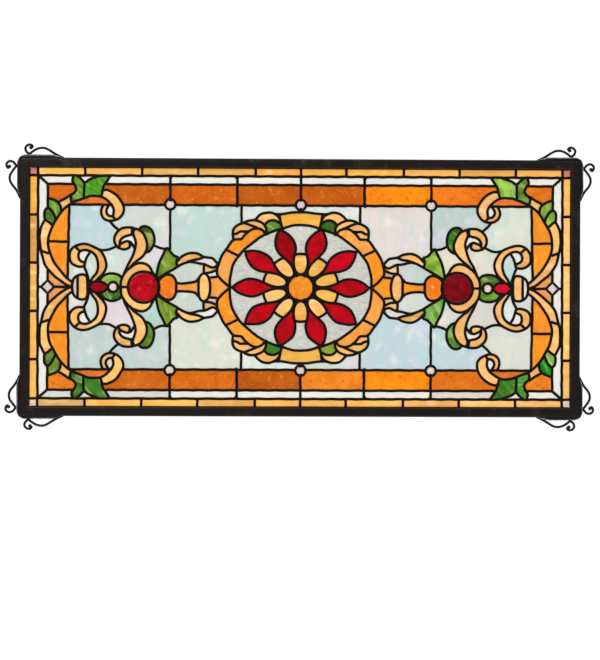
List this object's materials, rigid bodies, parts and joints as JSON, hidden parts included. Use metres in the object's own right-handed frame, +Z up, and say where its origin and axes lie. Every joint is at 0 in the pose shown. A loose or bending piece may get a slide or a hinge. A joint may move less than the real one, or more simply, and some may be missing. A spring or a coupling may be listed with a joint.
{
  "type": "stained glass window panel",
  "caption": "Wide rectangular leaded glass panel with a rose medallion, scrolls and leaves in coloured glass, in a dark metal channel frame with wire scrolls at its corners.",
  "frame": {"origin": "the middle of the top rail's flat back face, by which the panel is held against a window or a wall", "axes": "+X to the right along the top rail seen from the front, +Y out of the back, +Z up; the front of the panel faces -Y"},
  "size_m": [0.884, 0.014, 0.4283],
  "materials": {
    "leaded_glass": "opalescent glass in dark leads",
    "red_glass": "glossy cathedral glass",
    "amber_glass": "glossy opalescent glass",
    "orange_glass": "glossy opalescent glass",
    "green_glass": "glossy streaky glass",
    "jewel_glass": "pressed clear glass",
    "frame_metal": "dark brown-black patina",
    "wire_metal": "black satin"
  },
  "bodies": {
    "root": {"leaded_field": "leaded_glass", "rose_boss": "orange_glass", "red_petal_000": "red_glass", "red_petal_036": "red_glass", "red_petal_072": "red_glass", "red_petal_108": "red_glass", "red_petal_144": "red_glass", "red_petal_180": "red_glass", "red_petal_216": "red_glass", "red_petal_252": "red_glass", "red_petal_288": "red_glass", "red_petal_324": "red_glass", "amber_petal_018": "amber_glass", "amber_petal_054": "amber_glass", "amber_petal_090": "amber_glass", "amber_petal_126": "amber_glass", "amber_petal_162": "amber_glass", "amber_petal_198": "amber_glass", "amber_petal_234": "amber_glass", "amber_petal_270": "amber_glass", "amber_petal_306": "amber_glass", "amber_petal_342": "amber_glass", "large_jewel_left": "red_glass", "large_jewel_right": "red_glass", "red_drop_left": "red_glass", "red_drop_right": "red_glass", "disc_jewel_left": "jewel_glass", "disc_jewel_right": "jewel_glass", "diamond_jewel_left": "jewel_glass", "diamond_jewel_right": "jewel_glass", "border_jewel_top_left": "jewel_glass", "border_jewel_top_middle": "jewel_glass", "border_jewel_top_right": "jewel_glass", "border_jewel_bottom_left": "jewel_glass", "border_jewel_bottom_middle": "jewel_glass", "border_jewel_bottom_right": "jewel_glass", "corner_leaf_top_left": "green_glass", "corner_leaf_top_right": "green_glass", "corner_leaf_bottom_left": "green_glass", "corner_leaf_bottom_right": "green_glass", "vase_leaf_top_left": "green_glass", "vase_leaf_top_right": "green_glass", "vase_leaf_bottom_left": "green_glass", "vase_leaf_bottom_right": "green_glass", "top_rail": "frame_metal", "bottom_rail": "frame_metal", "left_stile": "frame_metal", "right_stile": "frame_metal", "corner_strap_top_left": "frame_metal", "corner_strap_top_right": "frame_metal", "corner_strap_bottom_left": "frame_metal", "corner_strap_bottom_right": "frame_metal", "end_scroll_top_left": "wire_metal", "end_scroll_top_right": "wire_metal", "end_scroll_bottom_left": "wire_metal", "end_scroll_bottom_right": "wire_metal", "side_scroll_top_left": "wire_metal", "side_scroll_top_right": "wire_metal", "side_scroll_bottom_left": "wire_metal", "side_scroll_bottom_right": "wire_metal"}
  },
  "joints": []
}
